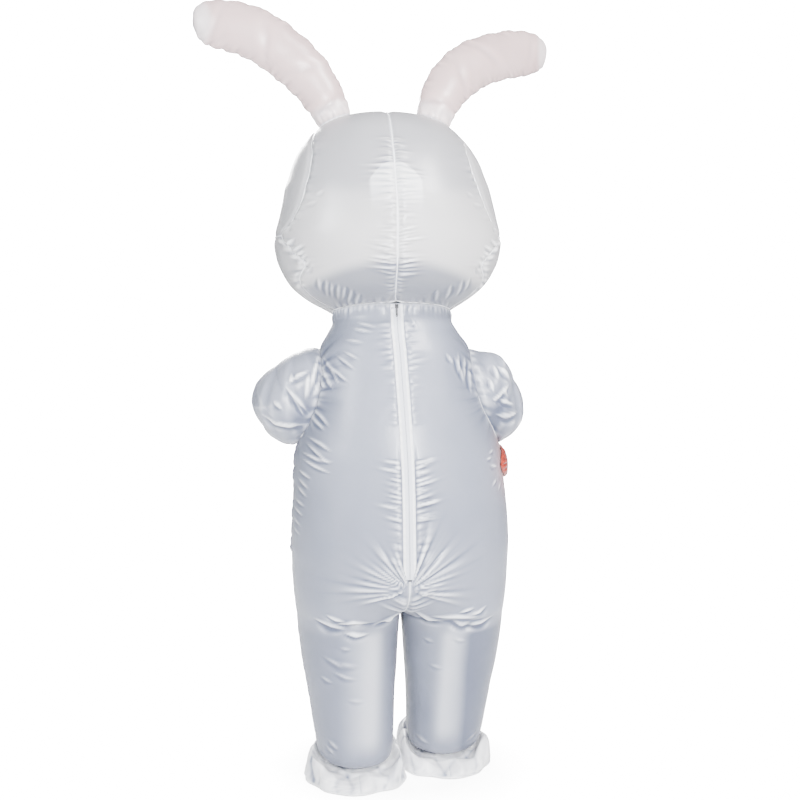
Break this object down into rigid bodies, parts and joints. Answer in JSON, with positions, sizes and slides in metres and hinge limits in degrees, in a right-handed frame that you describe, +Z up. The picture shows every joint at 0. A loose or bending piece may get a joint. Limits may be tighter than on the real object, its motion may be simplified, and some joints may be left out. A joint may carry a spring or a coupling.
{
  "type": "inflatable rabbit costume",
  "caption": "Inflated full-body rabbit costume in thin white cloth, with a round head, long ears, bent sleeves, loose paw covers and a long zip up the back.",
  "frame": {"origin": "Centre of the neck seam, between the wearer's shoulders, where the wearer holds the costume up.", "axes": "The face looks along -Y, the back zip faces +Y, the wearer's left is +X, +Z is up. The floor is at z = -1.42 m."},
  "size_m": [1.116, 0.685, 2.3473],
  "materials": {
    "white_taffeta": "thin white polyester taffeta with a satin sheen",
    "pink_taffeta": "thin pale pink polyester taffeta with a satin sheen",
    "orange_taffeta": "thin orange polyester taffeta",
    "elastic": "white knitted elastic",
    "zip_tape": "white woven tape",
    "zip_coil": "white nylon coil",
    "zip_metal": "plated zinc",
    "clear_film": "clear soft film",
    "fan_plastic": "moulded white plastic"
  },
  "bodies": {
    "costume": {"body_back_left": "white_taffeta", "body_back_right": "white_taffeta", "body_front_left": "white_taffeta", "body_front_right": "white_taffeta", "cuff_left": "elastic", "cuff_right": "elastic", "ear_left_back": "white_taffeta", "ear_left_front": "pink_taffeta", "ear_right_back": "white_taffeta", "ear_right_front": "pink_taffeta", "fan_port": "fan_plastic", "head_back_left": "white_taffeta", "head_back_right": "white_taffeta", "head_cheek_left": "white_taffeta", "head_cheek_right": "white_taffeta", "head_front_left": "white_taffeta", "head_front_right": "white_taffeta", "head_side_left": "white_taffeta", "head_side_right": "white_taffeta", "head_window": "clear_film", "patch_orange": "orange_taffeta", "shoe_left_sole": "white_taffeta", "shoe_left_upper": "white_taffeta", "shoe_right_sole": "white_taffeta", "shoe_right_upper": "white_taffeta", "sleeve_left": "white_taffeta", "sleeve_right": "white_taffeta", "zip_coil": "zip_coil", "zip_slider": "zip_metal", "zip_stop": "zip_metal", "zip_tape_left": "zip_tape", "zip_tape_right": "zip_tape"},
    "pull_tab": {"zip_pull": "zip_metal"}
  },
  "joints": [
    {"name": "pull_hinge", "type": "hinge", "parent": "costume", "child": "pull_tab", "pos_m": [0.0257, 0.15825, 0.02172], "axis": [1, 0, 0], "range_deg": [0, 90]}
  ]
}
